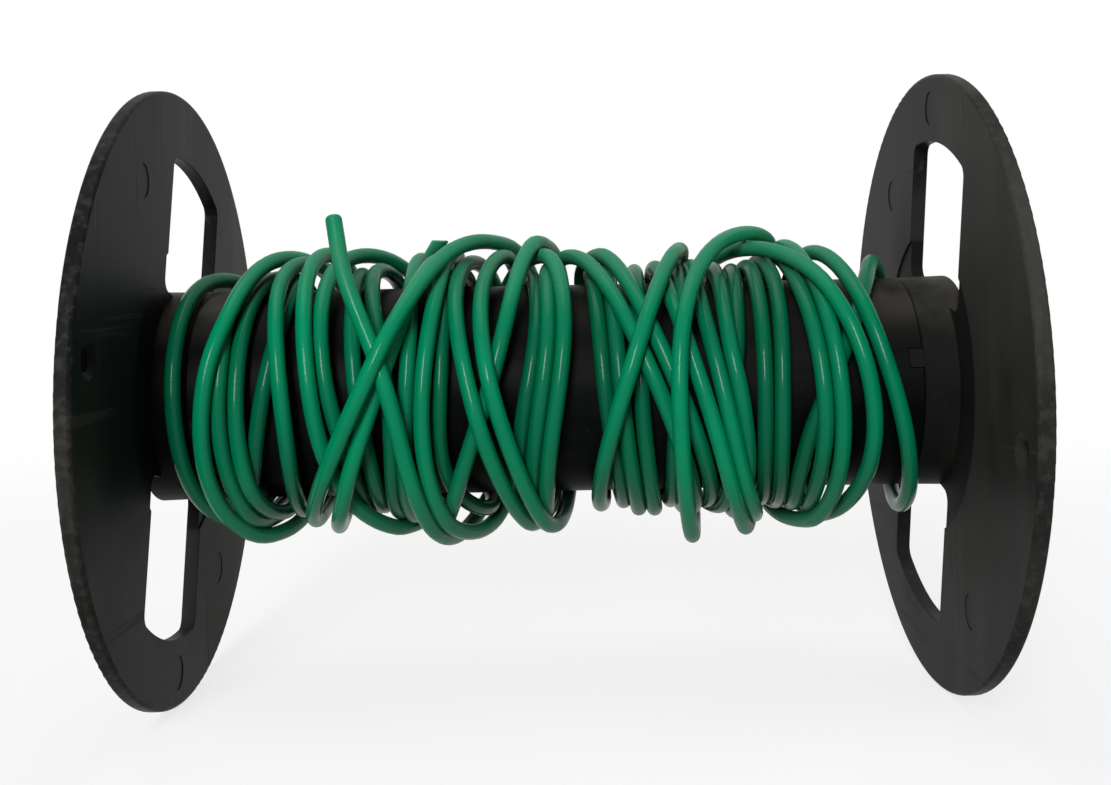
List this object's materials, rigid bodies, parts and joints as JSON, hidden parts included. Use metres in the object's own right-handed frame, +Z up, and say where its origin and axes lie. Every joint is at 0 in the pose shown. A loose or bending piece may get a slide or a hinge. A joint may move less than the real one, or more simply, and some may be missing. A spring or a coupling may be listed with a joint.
{
  "type": "wire spool",
  "caption": "Black moulded spool with windowed flanges on a barrel tube, loosely wound with green insulated building wire.",
  "frame": {"origin": "middle of the arbor bore, which is also the middle of the spool", "axes": "+X along the arbor axis to the right flange, +Z up, -Y towards the near side in the picture"},
  "size_m": [0.2134, 0.165, 0.165],
  "materials": {
    "flange_plastic": "moulded black, scuffed and dusty",
    "barrel_plastic": "extruded black, slightly smoother than the flanges",
    "wire_jacket": "clear nylon over green insulation, glossy",
    "copper_strands": "cut copper strands"
  },
  "bodies": {
    "root": {"left_flange": "flange_plastic", "right_flange": "flange_plastic", "barrel_tube": "barrel_plastic", "wire_insulation": "wire_jacket", "inner_end_conductor": "copper_strands", "free_end_conductor": "copper_strands"}
  },
  "joints": []
}
